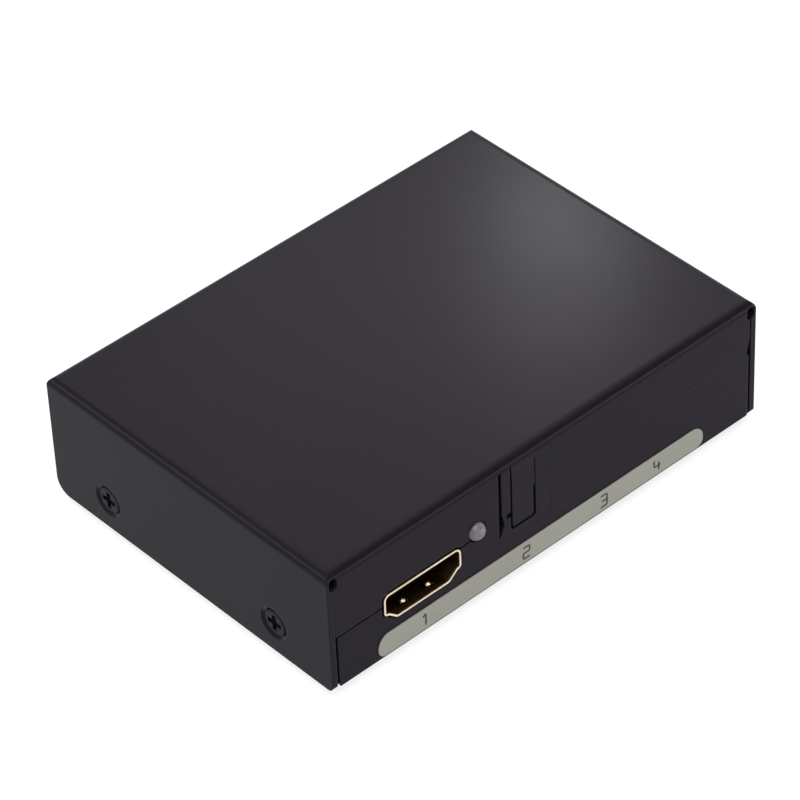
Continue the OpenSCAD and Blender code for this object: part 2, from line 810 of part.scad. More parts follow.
module hdmi_in_shell() {
    color([0.86, 0.76, 0.55]) on_feet() at_hdmi_in() port_shell();
}

module hdmi_in_insulator() {
    color([0.08, 0.08, 0.08]) on_feet() at_hdmi_in() port_insulator();
}

module hdmi_in_contacts() {
    color([0.9, 0.75, 0.4]) on_feet() at_hdmi_in() port_contacts();
}

// Optical port: a moulded housing with a sprung shutter that swings inwards from the top

module optical_housing() {
    foot_left = optical_left - bezel_gap_left + bezel_gap;
    bezel = [[optical_left, relief_high], [optical_left, bezel_top_z], [optical_right, bezel_top_z],
             [optical_right, bezel_bottom_z], [foot_left, bezel_bottom_z], [foot_left, bezel_bottom_z + bezel_gap_left],
             [optical_left + relief_w, relief_middle]];
    aperture_left = optical_x - aperture_w / 2;
    aperture = rounded(rectangle([aperture_left, aperture_bottom_z], [aperture_left + aperture_w, aperture_top_z]),
                       [aperture_corner_r, aperture_corner_r, 0, 0]);
    color([0.11, 0.11, 0.12]) on_feet() {
        difference() {
            union() {
                span([optical_left, optical_body_front, board_top], [optical_right, optical_rear, bezel_top_z]);
                along_y(bezel, front, optical_body_front + sheet_t);
            }
            along_y(aperture, front - cut, front + sheet_t);
            span([cavity_left, front + lip_t, cavity_floor], [cavity_right, cavity_rear, cavity_top]);
            span([aperture_left - key_w, front - cut, key_low], [aperture_left + cut, front + lip_t + cut, key_high]);
            span([aperture_left, front - cut, aperture_top_z - cut],
                 [aperture_left + groove_w, front + groove_t, bezel_top_z]);
            rod_y(optical_x, light_z, light_d / 2, cavity_rear - cut, optical_rear + cut);
            rod_x(hinge_y, hinge_z, hinge_pin_d / 2 + seat_fit, optical_left - cut, optical_right + cut);
        }
        difference() {
            rod_y(optical_x, light_z, guide_d / 2, cavity_rear - guide_l, cavity_rear + cavity_wall / 2);
            rod_y(optical_x, light_z, light_d / 2, cavity_rear - guide_l - cut, optical_rear + cut);
        }
    }
}

module optical_shutter() {
    left = cavity_left + pass_gap;
    right_side = cavity_right - pass_gap;
    face_left = optical_x - aperture_w / 2 + shutter_gap;
    face_right = optical_x + aperture_w / 2;
    face_bottom = aperture_bottom_z + shutter_gap;
    face_top = aperture_top_z - seat_fit;
    face_r = aperture_corner_r - pass_gap;
    face = rounded([[face_left, face_bottom], [face_right - shutter_gap, face_bottom],
                    [face_right - shutter_gap, narrow_gap_z - shutter_gap],
                    [face_right - pass_gap, narrow_gap_z], [face_right - pass_gap, face_top],
                    [face_left, face_top]], [face_r, face_r, 0, 0, 0, 0]);
    spring_room = spring_half_w + spring_wire_d / 2 + pass_gap;
    color([0.14, 0.14, 0.15]) on_feet() difference() {
        union() {
            span([left, shutter_face, shutter_bottom], [right_side, shutter_face + shutter_t, hinge_z + shutter_above]);
            along_y(face, front + shutter_sink, shutter_face + shutter_t / 2);
            for (ends = [[left, optical_x - spring_room], [optical_x + spring_room, right_side]]) {
                rod_x(hinge_y, hinge_z, barrel_r, ends[0], ends[1]);
                span([ends[0], shutter_face + shutter_t / 2, hinge_z - barrel_r / 2],
                     [ends[1], hinge_y, hinge_z + shutter_above]);
            }
        }
        rod_x(hinge_y, hinge_z, hinge_pin_d / 2 + running_fit, left - cut, right_side + cut);
    }
}

module shutter_pin() {
    color([0.75, 0.75, 0.77]) on_feet()
        rod_x(hinge_y, hinge_z, hinge_pin_d / 2, optical_left + pass_gap, optical_right - pass_gap);
}

module shutter_spring() {
    steps = spring_turns * 16;
    coil = [for (i = [0:steps])
        let (a = 180 + 360 * spring_turns * i / steps)
        [optical_x - spring_half_w + 2 * spring_half_w * i / steps,
         hinge_y + spring_r * cos(a), hinge_z + spring_r * sin(a)]];
    path = concat([coil[0] + [0, 0, spring_stub]], coil, [coil[steps] - [0, 0, spring_leg]]);
    color([0.7, 0.7, 0.72]) on_feet() wire(path, spring_wire_d / 2);
}

module optical_emitter() {
    color([0.12, 0.1, 0.12]) on_feet() {
        span([optical_x - emitter_w / 2, optical_rear, board_top],
             [optical_x + emitter_w / 2, optical_rear + emitter_l, board_top + emitter_h]);
        rod_y(optical_x, light_z, emitter_nose_d / 2, optical_rear - emitter_nose_l, optical_rear + emitter_l / 2);
    }
}

module emitter_leads() {
    y = optical_rear + emitter_l;
    color([0.8, 0.8, 0.82]) on_feet() for (i = [-1:1]) translate([optical_x + i * 5 * lead_w, 0, 0]) {
        span([-lead_w / 2, y, board_top], [lead_w / 2, y + lead_t, board_top + emitter_h / 3]);
        span([-lead_w / 2, y, board_top], [lead_w / 2, y + 4 * lead_t, board_top + lead_t]);
    }
}

// Status light

module status_led() {
    color([0.8, 0.8, 0.82]) on_feet() translate([led_x, led_rear, led_z]) rotate([90, 0, 0]) {
        straight = led_l - led_d / 2;
        cylinder(h = led_flange_l, r = led_flange_d / 2);
        cylinder(h = straight, r = led_d / 2);
        translate([0, 0, straight]) rotate_extrude() intersection() {
            circle(r = led_d / 2);
            square(led_d / 2);
        }
    }
}

module status_led_leads() {
    color([0.8, 0.8, 0.82]) on_feet() for (side = [-1, 1]) translate([led_x + side * led_lead_pitch, led_rear, 0]) {
        span([-lead_w / 2, 0, led_z - lead_w / 2], [lead_w / 2, led_lead_l, led_z + lead_w / 2]);
        span([-lead_w / 2, led_lead_l - lead_w, board_top], [lead_w / 2, led_lead_l, led_z + lead_w / 2]);
    }
}

// Power socket

module power_jack_housing() {
    half_w = jack_w / 2;
    slot_low = jack_z - jack_bore_d / 2 - leaf_t - pass_gap;
    color([0.09, 0.09, 0.1]) on_feet() difference() {
        union() {
            span([jack_x - half_w, jack_rear, board_top], [jack_x + half_w, jack_front, board_top + jack_h]);
            rod_y(jack_x, jack_z, jack_nose_d / 2, jack_front - sheet_t, jack_mouth);
        }
        rod_y(jack_x, jack_z, jack_bore_d / 2, jack_bore_end, jack_mouth + cut);
        translate([jack_x, jack_mouth, jack_z]) rotate([90, 0, 0]) translate([0, 0, -seat_fit])
            cylinder(h = jack_mouth_bevel, r1 = jack_bore_d / 2 + jack_mouth_bevel, r2 = jack_bore_d / 2);
        rod_y(jack_x, jack_z, jack_pin_d / 2 + seat_fit, jack_rear - cut, jack_bore_end + cut);
        span([jack_x - spring_slot_w / 2, jack_rear - cut, slot_low],
             [jack_x + spring_slot_w / 2, jack_front - 2 * sheet_t, jack_z - jack_bore_d / 4]);
    }
}

module power_jack_pin() {
    tip = jack_mouth - jack_pin_recess;
    color([0.8, 0.78, 0.74]) on_feet() {
        rod_y(jack_x, jack_z, jack_pin_d / 2, jack_rear - jack_pin_tail, tip - jack_pin_d / 4);
        translate([jack_x, tip - jack_pin_d / 4, jack_z]) rotate([-90, 0, 0])
            cylinder(h = jack_pin_d / 4, r1 = jack_pin_d / 2, r2 = jack_pin_d / 4);
    }
}

module power_jack_contacts() {
    low = jack_z - jack_bore_d / 2 - leaf_t;
    leaf_end = jack_front - 2 * sheet_t - pass_gap;
    leaf = [[jack_rear - leaf_t, board_top], [jack_rear - leaf_t, low + leaf_t],
            [leaf_end - 4 * leaf_t, low + leaf_t], [leaf_end - 2 * leaf_t, low + leaf_t + leaf_reach],
            [leaf_end, low + leaf_t], [leaf_end, low], [leaf_end - 2 * leaf_t, low + leaf_reach],
            [leaf_end - 4 * leaf_t, low], [jack_rear, low], [jack_rear, board_top]];
    tail = jack_rear - jack_pin_tail;
    color([0.8, 0.78, 0.74]) on_feet() {
        translate([jack_x, 0, 0]) along_x(leaf, -spring_leaf_w / 2, spring_leaf_w / 2);
        span([jack_x - spring_leaf_w / 2, tail - leaf_t, board_top],
             [jack_x + spring_leaf_w / 2, tail, jack_z + spring_leaf_w / 2]);
    }
}

// Mode switch

module mode_switch_frame() {
    half_w = switch_w / 2;
    window_half_w = knob_w / 2 + switch_travel + knob_window_gap;
    window_half_h = knob_h / 2 + knob_window_gap;
    color([0.78, 0.78, 0.8]) on_feet() translate([switch_x, 0, switch_z]) difference() {
        span([-half_w, switch_back, -switch_h / 2], [half_w, switch_front, switch_h / 2]);
        span([-half_w + switch_t, switch_back - cut, -switch_h / 2 + switch_t],
             [half_w - switch_t, switch_front - switch_t, switch_h / 2 - switch_t]);
        span([-window_half_w, switch_back - cut, -window_half_h], [window_half_w, switch_front + cut, window_half_h]);
    }
}

module mode_switch_base() {
    half_w = switch_w / 2 - switch_t - seat_fit;
    half_h = switch_h / 2 - switch_t - seat_fit;
    color([0.35, 0.2, 0.12]) on_feet() translate([switch_x, 0, switch_z]) {
        span([-half_w, switch_back, -half_h], [half_w, slider_back - running_fit, half_h]);
        for (i = [-1:1]) translate([i * switch_lead_pitch, 0, 0]) {
            span([-lead_w / 2, switch_back - 2 * lead_t, -lead_t], [lead_w / 2, switch_back, 0]);
            span([-lead_w / 2, switch_back - 2 * lead_t, -switch_h / 2],
                 [lead_w / 2, switch_back - lead_t, 0]);
        }
    }
}

module mode_switch_slider() {
    half_h = switch_h / 2 - switch_t - pass_gap;
    color([0.1, 0.1, 0.11]) on_feet() translate([switch_x, 0, switch_z]) {
        span([-slider_w / 2, slider_back, -half_h], [slider_w / 2, slider_front, half_h]);
        span([-knob_w / 2, slider_front - slider_l / 2, -knob_h / 2], [knob_w / 2, rear + knob_proud, knob_h / 2]);
    }
}

// Parts on the board

// Gull-wing lead that leaves a chip towards +Y at its edge
module gull_lead(rise) {
    span([-fine_lead_w / 2, 0, rise], [fine_lead_w / 2, lead_reach / 2, rise + fine_lead_t]);
    span([-fine_lead_w / 2, lead_reach / 2 - fine_lead_t, 0], [fine_lead_w / 2, lead_reach / 2, rise + fine_lead_t]);
    span([-fine_lead_w / 2, lead_reach / 2 - fine_lead_t, 0],
         [fine_lead_w / 2, lead_reach / 2 + lead_foot, fine_lead_t]);
}

module chip_body(w, d, h) {
    bevel = h / 3;
    along_x(rounded(rectangle([-d / 2, chip_lift], [d / 2, h]), [0, 0, bevel, bevel], 1), -w / 2, w / 2);
}

module main_chip() {
    color([0.07, 0.07, 0.08]) on_feet() translate(board_spot(main_chip_shares))
        chip_body(main_chip_w, main_chip_w, main_chip_h);
}

module main_chip_leads() {
    color([0.78, 0.78, 0.8]) on_feet() translate(board_spot(main_chip_shares))
        for (side = [0:90:270], i = [0:main_lead_count - 1]) rotate([0, 0, side])
            translate([(i - (main_lead_count - 1) / 2) * main_lead_pitch, main_chip_w / 2, 0])
                gull_lead(main_chip_h / 3);
}

module audio_chip() {
    color([0.07, 0.07, 0.08]) on_feet() translate(board_spot(audio_chip_shares))
        chip_body(audio_chip_w, audio_chip_d, audio_chip_h);
}

module audio_chip_leads() {
    color([0.78, 0.78, 0.8]) on_feet() translate(board_spot(audio_chip_shares))
        for (side = [0, 180], i = [0:audio_lead_count - 1]) rotate([0, 0, side])
            translate([(i - (audio_lead_count - 1) / 2) * audio_lead_pitch, audio_chip_d / 2, 0])
                gull_lead(audio_chip_h / 3);
}

module regulator() {
    w = regulator_size[0];
    d = regulator_size[1];
    color([0.07, 0.07, 0.08]) on_feet() translate(board_spot(regulator_shares)) {
        translate([-w / 2, -d / 2, 0]) cube(regulator_size);
        span([-regulator_tab_w / 2, 0, 0], [regulator_tab_w / 2, d / 2 + regulator_tab_l, regulator_tab_t]);
        for (i = [-1:1]) translate([i * regulator_pitch, 0, 0])
            span([-lead_w / 2, -d / 2 - regulator_tab_l, 0], [lead_w / 2, 0, regulator_tab_t]);
    }
}

module oval_can(w, l, z0, z1) {
    half = (l - w) / 2;
    span([-half, -w / 2, z0], [half, w / 2, z1]);
    for (side = [-1, 1]) translate([side * half, 0, z0]) cylinder(h = z1 - z0, r = w / 2);
}

module crystal() {
    color([0.8, 0.8, 0.82]) on_feet() translate(board_spot(crystal_shares)) {
        oval_can(crystal_w, crystal_l, crystal_rim / 2, crystal_h);
        oval_can(crystal_w + 2 * crystal_rim, crystal_l + 2 * crystal_rim, 0, crystal_rim);
    }
}

module capacitors() {
    color([0.75, 0.75, 0.78]) on_feet() for (shares = capacitor_shares) translate(board_spot(shares)) {
        half = capacitor_base_w / 2;
        span([-half, -half, 0], [half, half, capacitor_base_h]);
        cylinder(h = 2 * capacitor_base_h, r = capacitor_d / 2);
        cylinder(h = 3 * capacitor_base_h, r = capacitor_d / 2 - capacitor_groove);
        translate([0, 0, 2 * capacitor_base_h + capacitor_groove])
            cylinder(h = capacitor_h - 2 * capacitor_base_h - capacitor_groove, r = capacitor_d / 2);
    }
}

module inductor() {
    half = inductor_w / 2;
    outline = rounded(rectangle([-half, -half], [half, half]),
                      [inductor_bevel, inductor_bevel, inductor_bevel, inductor_bevel], 1);
    color([0.2, 0.2, 0.21]) on_feet() translate(board_spot(inductor_shares)) {
        along_z(outline, 0, inductor_h - inductor_bevel / 2);
        cylinder(h = inductor_h, r = half - inductor_bevel);
    }
}

module chip_resistors() {
    color([0.12, 0.12, 0.13]) on_feet() for (row = resistor_row_shares, i = [0:resistor_count - 1])
        translate(board_spot(row) + [i * resistor_pitch, 0, 0]) cube(resistor_size);
}

upper_shell();
lower_shell();
side_screws();
label_strip();
rubber_feet();
circuit_board();
board_standoffs();
board_screws();
hdmi_out_shell();
hdmi_out_insulator();
hdmi_out_contacts();
hdmi_in_shell();
hdmi_in_insulator();
hdmi_in_contacts();
optical_housing();
optical_shutter();
shutter_pin();
shutter_spring();
optical_emitter();
emitter_leads();
status_led();
status_led_leads();
power_jack_housing();
power_jack_pin();
power_jack_contacts();
mode_switch_frame();
mode_switch_base();
mode_switch_slider();
main_chip();
main_chip_leads();
audio_chip();
audio_chip_leads();
regulator();
crystal();
capacitors();
inductor();
chip_resistors();
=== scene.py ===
import math
import bpy
import bmesh
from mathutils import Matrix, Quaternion, Vector
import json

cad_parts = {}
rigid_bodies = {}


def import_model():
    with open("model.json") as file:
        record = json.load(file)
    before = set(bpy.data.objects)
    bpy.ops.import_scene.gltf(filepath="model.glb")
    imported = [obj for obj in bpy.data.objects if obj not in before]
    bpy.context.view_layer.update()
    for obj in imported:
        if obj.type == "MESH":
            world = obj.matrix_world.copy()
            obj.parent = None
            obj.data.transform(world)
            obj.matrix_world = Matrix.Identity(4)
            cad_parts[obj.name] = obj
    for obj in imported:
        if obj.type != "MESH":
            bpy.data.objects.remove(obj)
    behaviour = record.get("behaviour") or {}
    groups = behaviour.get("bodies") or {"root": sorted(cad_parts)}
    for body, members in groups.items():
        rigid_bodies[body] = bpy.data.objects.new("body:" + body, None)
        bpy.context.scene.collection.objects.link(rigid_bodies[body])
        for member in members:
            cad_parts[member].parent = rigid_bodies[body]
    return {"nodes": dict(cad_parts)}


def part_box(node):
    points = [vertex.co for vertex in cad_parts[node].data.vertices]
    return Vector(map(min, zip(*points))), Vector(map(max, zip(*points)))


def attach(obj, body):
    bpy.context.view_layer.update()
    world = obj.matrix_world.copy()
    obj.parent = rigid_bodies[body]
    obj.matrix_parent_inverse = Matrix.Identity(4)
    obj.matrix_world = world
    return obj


# The objects of Blender's start file go before the model is loaded
for start_object in list(bpy.data.objects):
    bpy.data.objects.remove(start_object)
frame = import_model()
bpy.context.view_layer.update()
scene = bpy.context.scene
scene.view_settings.view_transform = "Standard"
nodes = frame["nodes"]


# Objects. All lengths and places in this script are in metres
def add_object(name, data):
    """A new object of the scene, at the origin."""
    made = bpy.data.objects.new(name, data)
    scene.collection.objects.link(made)
    return made


def add_mesh(name, mesh):
    """A new object from a bmesh, which is freed."""
    data = bpy.data.meshes.new(name)
    mesh.to_mesh(data)
    mesh.free()
    return add_object(name, data)


def aim(thing, place, target, roll=0.0):
    """Puts a camera or lamp at a place and points it at a target, with its top upwards but for the roll."""
    level_turn = (Vector(target) - Vector(place)).to_track_quat("-Z", "Y")
    thing.location = place
    thing.rotation_mode = "QUATERNION"
    thing.rotation_quaternion = level_turn @ Quaternion((0.0, 0.0, 1.0), roll)


# Camera, from a fit to the box edges in the photograph. Its sensor and lens are in millimetres
camera_data = bpy.data.cameras.new("photo_camera")
camera_data.sensor_width = 36.0
camera_data.lens = 193.0776
camera_data.clip_start = 0.01
camera_data.clip_end = 20.0
camera = add_object("photo_camera", camera_data)
camera_place = (-0.3125030, -0.3576955, 0.4177663)
camera_target = (-0.0013537, -0.0002575, 0.0119500)
camera_roll = math.radians(-2.63556)
aim(camera, camera_place, camera_target, camera_roll)
scene.camera = camera

# Two ranges, low and high, that most of a noise's values lie in
narrow_noise = (0.3, 0.7)
wide_noise = (0.25, 0.75)

# Cosines between the softened and the plain normal, where an edge begins to show and where it shows fully
edge_cosines = (0.985, 0.80)

# Places of the two colour inputs and of the colour output on a Mix node
mix_first = 6
mix_second = 7
mix_result = 2


# Node trees
class Graph:
    """The node tree of a material or of the world, with short calls for the nodes that it uses."""

    def __init__(self, owner, output_kind):
        owner.use_nodes = True
        self.owner = owner
        self.tree = owner.node_tree
        self.tree.nodes.clear()
        self.output = self.add(output_kind)

    def add(self, kind, **settings):
        made = self.tree.nodes.new(kind)
        for key, value in settings.items():
            setattr(made, key, value)
        return made

    def put(self, value, socket):
        """Links a socket to another node's, or sets its own constant. A colour needs no alpha."""
        if isinstance(value, bpy.types.NodeSocket):
            self.tree.links.new(value, socket)
        elif isinstance(value, tuple) and len(value) < len(socket.default_value):
            socket.default_value = (*value, 1.0)
        else:
            socket.default_value = value

    def fill(self, node, **sockets):
        """Links or sets sockets by name, with _ for a space."""
        for name, value in sockets.items():
            self.put(value, node.inputs[name.replace("_", " ")])

    def place(self, scale=(1.0, 1.0, 1.0)):
        """Object coordinates, times a scale on each axis."""
        coordinates = self.add("ShaderNodeTexCoord")
        mapping = self.add("ShaderNodeMapping")
        self.fill(mapping, Vector=coordinates.outputs["Object"], Scale=scale)
        return mapping.outputs["Vector"]

    def noise(self, vector, scale, detail=3.0, roughness=0.5):
        made = self.add("ShaderNodeTexNoise")
        self.fill(made, Vector=vector, Scale=scale, Detail=detail, Roughness=roughness)
        return made.outputs["Fac"]

    def spread(self, value, source, target=(0.0, 1.0), easing="LINEAR"):
        """A value carried over from one range to another, and held at the ends."""
        made = self.add("ShaderNodeMapRange", interpolation_type=easing)
        self.fill(made, Value=value, From_Min=source[0], From_Max=source[1])
        self.fill(made, To_Min=target[0], To_Max=target[1])
        return made.outputs["Result"]

    def combine(self, operation, first, second):
        made = self.add("ShaderNodeMath", operation=operation)
        self.put(first, made.inputs[0])
        self.put(second, made.inputs[1])
        return made.outputs["Value"]

    def vectors(self, operation, first, second=None):
        made = self.add("ShaderNodeVectorMath", operation=operation)
        self.put(first, made.inputs[0])
        if second is not None:
            self.put(second, made.inputs[1])
        result = "Value" if operation in ("DOT_PRODUCT", "DISTANCE") else "Vector"
        return made.outputs[result]

    def mix(self, factor, first, second):
        made = self.add("ShaderNodeMix", data_type="RGBA")
        self.fill(made, Factor=factor)
        self.put(first, made.inputs[mix_first])
        self.put(second, made.inputs[mix_second])
        return made.outputs[mix_result]

    def clouded(self, cloud, dark, light):
        """A colour that wanders from dark to light with a noise."""
        return self.mix(self.spread(cloud, narrow_noise), dark, light)

    def edged(self, edge, share, inner, outer):
        """A colour with a share of another one along the edges."""
        return self.mix(self.combine("MULTIPLY", edge, share), inner, outer)

    def edges(self, radius):
        """The softened normal, and a mask that is 1 where an outer or inner edge is near."""
        bevel = self.add("ShaderNodeBevel", samples=6)
        self.fill(bevel, Radius=radius)
        plain = self.add("ShaderNodeNewGeometry")
        closeness = self.vectors("DOT_PRODUCT", bevel.outputs["Normal"], plain.outputs["Normal"])
        return bevel.outputs["Normal"], self.spread(closeness, edge_cosines)

    def bump(self, height, strength, distance, normal=None):
        made = self.add("ShaderNodeBump")
        self.fill(made, Height=height, Strength=strength, Distance=distance)
        if normal is not None:
            self.fill(made, Normal=normal)
        return made.outputs["Normal"]

    def shader(self, kind, **sockets):
        """A shader with constants or links on its own sockets."""
        made = self.add(kind)
        self.fill(made, **sockets)
        return made.outputs[0]

    def mix_shaders(self, factor, first, second):
        made = self.add("ShaderNodeMixShader")
        self.fill(made, Fac=factor)
        self.put(first, made.inputs[1])
        self.put(second, made.inputs[2])
        return made.outputs["Shader"]

    def end(self, shader):
        """Puts a shader on the output, and returns the material or world."""
        self.fill(self.output, Surface=shader)
        return self.owner

    def surface(self, **sockets):
        return self.end(self.shader("ShaderNodeBsdfPrincipled", **sockets))


def look_graph(name):
    return Graph(bpy.data.materials.new(name + "_look"), "ShaderNodeOutputMaterial")


# Satin black paint of the two case halves, rubbed a little paler along the edges
worn_paint = (0.026, 0.023, 0.030)


def case_finish(name, dark, light):
    graph = look_graph(name)
    even = graph.place()
    grain = graph.noise(even, scale=3200.0, detail=4.0, roughness=0.6)
    cloud = graph.noise(even, scale=38.0, roughness=0.55)
    rubs = graph.noise(even, scale=420.0, detail=4.0)
    softened, edge = graph.edges(radius=0.00022)
    base = graph.clouded(cloud, dark, light)
    speckled = graph.mix(graph.spread(grain, (0.55, 0.80), (0.0, 0.30)), base, light)
    colour = graph.edged(edge, graph.spread(rubs, (0.42, 0.66), (0.10, 0.60)), speckled, worn_paint)
    rough_grain = graph.spread(grain, wide_noise, (0.18, 0.21))
    rough_cloud = graph.spread(cloud, narrow_noise, (-0.01, 0.01))
    rough = graph.combine("ADD", rough_grain, rough_cloud)
    normal = graph.bump(grain, strength=0.03, distance=0.00002, normal=softened)
    return graph.surface(Base_Color=colour, Roughness=rough, Normal=normal, Specular_IOR_Level=0.06)


# Moulded plastic, with a fine spark-eroded grain and a light gloss change
def moulded(name, dark, light, rough, specular=0.40, grain_scale=2200.0, depth=0.00002, radius=0.00012):
    graph = look_graph(name)
    even = graph.place()
    grain = graph.noise(even, grain_scale, roughness=0.6)
    cloud = graph.noise(even, scale=160.0)
    softened, edge = graph.edges(radius)
    colour = graph.edged(edge, 0.35, graph.clouded(cloud, dark, light), light)
    gloss = graph.spread(grain, wide_noise, rough)
    normal = graph.bump(grain, strength=0.20, distance=depth, normal=softened)
    return graph.surface(Base_Color=colour, Roughness=gloss, Normal=normal, Specular_IOR_Level=specular)


# Plated or bare metal, with a fine grain and bright edges
def metal(name, dark, light, rough):
    graph = look_graph(name)
    even = graph.place()
    grain = graph.noise(even, scale=1800.0, detail=4.0, roughness=0.65)
    cloud = graph.noise(even, scale=240.0)
    softened, edge = graph.edges(radius=0.00008)
    colour = graph.edged(edge, 0.5, graph.clouded(cloud, dark, light), light)
    gloss = graph.spread(grain, wide_noise, rough)
    normal = graph.bump(grain, strength=0.15, distance=0.00001, normal=softened)
    return graph.surface(Base_Color=colour, Roughness=gloss, Normal=normal, Metallic=1.0)


# How far an HDMI shell's axis lies below its top
port_axis_drop = 0.0026

# Middles of the shell's four contact bumps: beside the axis, above or below it, and behind the mouth
bump_side = 0.0024
bump_rise = 0.00245
bump_depth = 0.00185

# Distances from a bump's middle between which its plated gold gives way to the painted shade of the shell's
# inside
bump_rim = (0.00051, 0.00054)

# Depths behind the mouth between which the painted shade of the shell's inside sets in
painted_shade_depths = (0.00012, 0.00040)


# Gold-plated HDMI shell. Behind the mouth its colour is darkened with painted shade, standing in for the
# shade inside the port, apart from the contact bumps, which keep the plated gold
def port_finish(name):
    low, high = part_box(name)
    axis = ((low.x + high.x) / 2.0, 0.0, high.z - port_axis_drop)
    mouth = max(-low.y, high.y)
    bump_place = (bump_side, mouth - bump_depth, bump_rise)
    graph = look_graph(name)
    even = graph.place()
    hairline = graph.noise(graph.place((1.0, 0.1, 1.0)), scale=1800.0, detail=4.0, roughness=0.65)
    cloud = graph.noise(even, scale=240.0)
    softened, edge = graph.edges(radius=0.00006)
    plated = graph.clouded(cloud, (0.76, 0.62, 0.44), (0.88, 0.75, 0.57))
    painted_shade_colour = graph.clouded(cloud, (0.200, 0.110, 0.045), (0.280, 0.170, 0.075))
    mirrored = graph.vectors("ABSOLUTE", graph.vectors("SUBTRACT", even, axis))
    parts = graph.add("ShaderNodeSeparateXYZ")
    graph.fill(parts, Vector=mirrored)
    painted_shade_mask = graph.spread(parts.outputs["Y"], tuple(mouth - depth for depth in painted_shade_depths))
    off_bump = graph.spread(graph.vectors("DISTANCE", mirrored, bump_place), bump_rim)
    # Painted shade: a darker colour deeper than the mouth, where the port lies in shade, with the contact
    # bumps left out of it
    plating_with_painted_shade = graph.mix(graph.combine("MULTIPLY", painted_shade_mask, off_bump), plated, painted_shade_colour)
    edge_share = graph.spread(painted_shade_mask, (0.0, 1.0), (0.5, 0.0))
    colour = graph.edged(edge, edge_share, plating_with_painted_shade, (0.90, 0.78, 0.62))
    gloss = graph.spread(hairline, wide_noise, (0.26, 0.38))
    normal = graph.bump(hairline, strength=0.08, distance=0.00001, normal=softened)
    return graph.surface(Base_Color=colour, Roughness=gloss, Normal=normal, Metallic=1.0)


# Circuit board: solder mask over faint copper tracks
def board_finish(name):
    graph = look_graph(name)
    even = graph.place()
    tracks = graph.add("ShaderNodeTexBrick")
    graph.fill(tracks, Vector=even, Scale=260.0, Mortar_Size=0.06)
    graph.fill(tracks, Color1=(0.0, 0.0, 0.0), Color2=(0.15, 0.15, 0.15), Mortar=(1.0, 1.0, 1.0))
    track = tracks.outputs["Color"]
    mask = graph.clouded(graph.noise(even, scale=90.0), (0.006, 0.065, 0.025), (0.009, 0.085, 0.032))
    colour = graph.mix(track, mask, (0.018, 0.140, 0.050))
    gloss = graph.spread(graph.noise(even, scale=1500.0), narrow_noise, (0.28, 0.40))
    normal = graph.bump(track, strength=0.25, distance=0.00003)
    return graph.surface(Base_Color=colour, Roughness=gloss, Normal=normal, Specular_IOR_Level=0.5)


# Brushed champagne film of the strip, with hairlines along it
def strip_finish(name):
    graph = look_graph(name)
    hairline = graph.noise(graph.place((0.03, 1.0, 1.0)), scale=5200.0, detail=4.0, roughness=0.7)
    cloud = graph.noise(graph.place(), scale=70.0)
    softened, edge = graph.edges(radius=0.00010)
    base = graph.clouded(cloud, (0.283, 0.280, 0.240), (0.321, 0.318, 0.274))
    brushed = graph.mix(graph.spread(hairline, (0.35, 0.75), (0.0, 0.5)), base, (0.377, 0.370, 0.325))
    colour = graph.edged(edge, 0.6, brushed, (0.55, 0.54, 0.50))
    gloss = graph.spread(hairline, wide_noise, (0.34, 0.50))
    normal = graph.bump(hairline, strength=0.12, distance=0.00001, normal=softened)
    return graph.surface(Base_Color=colour, Roughness=gloss, Normal=normal, Metallic=0.55)


# Rubber of the feet, matt and slightly dusty
def rubber_finish(name):
    graph = look_graph(name)
    even = graph.place()
    grain = graph.noise(even, scale=1600.0, detail=5.0, roughness=0.65)
    dust = graph.noise(even, scale=300.0, detail=4.0)
    softened, edge = graph.edges(radius=0.00020)
    dusted = graph.spread(dust, (0.45, 0.75), (0.0, 0.6))
    base = graph.mix(dusted, (0.012, 0.012, 0.012), (0.040, 0.039, 0.036))
    colour = graph.edged(edge, 0.5, base, (0.050, 0.049, 0.046))
    gloss = graph.spread(grain, wide_noise, (0.72, 0.92))
    normal = graph.bump(grain, strength=0.35, distance=0.00005, normal=softened)
    return graph.surface(Base_Color=colour, Roughness=gloss, Normal=normal, Specular_IOR_Level=0.25)


# Milky epoxy of the status light
def lens_finish(name):
    graph = look_graph(name)
    even = graph.place()
    cloud = graph.noise(even, scale=500.0)
    colour = graph.clouded(cloud, (0.180, 0.166, 0.190), (0.200, 0.185, 0.211))
    gloss = graph.spread(graph.noise(even, scale=1800.0), narrow_noise, (0.22, 0.32))
    normal = graph.bump(cloud, strength=0.05, distance=0.00003)
    return graph.surface(
        Base_Color=colour, Roughness=gloss, Normal=normal, Specular_IOR_Level=0.45,
        Subsurface_Weight=0.35, Subsurface_Radius=(0.0008, 0.0008, 0.0009), Subsurface_Scale=1.0,
    )


# Ink of the digits
def ink_finish(name):
    graph = look_graph(name)
    cloud = graph.noise(graph.place(), scale=2400.0)
    colour = graph.clouded(cloud, (0.030, 0.029, 0.028), (0.055, 0.053, 0.050))
    gloss = graph.spread(cloud, narrow_noise, (0.45, 0.60))
    normal = graph.bump(cloud, strength=0.15, distance=0.00001)
    return graph.surface(Base_Color=colour, Roughness=gloss, Normal=normal, Specular_IOR_Level=0.35)


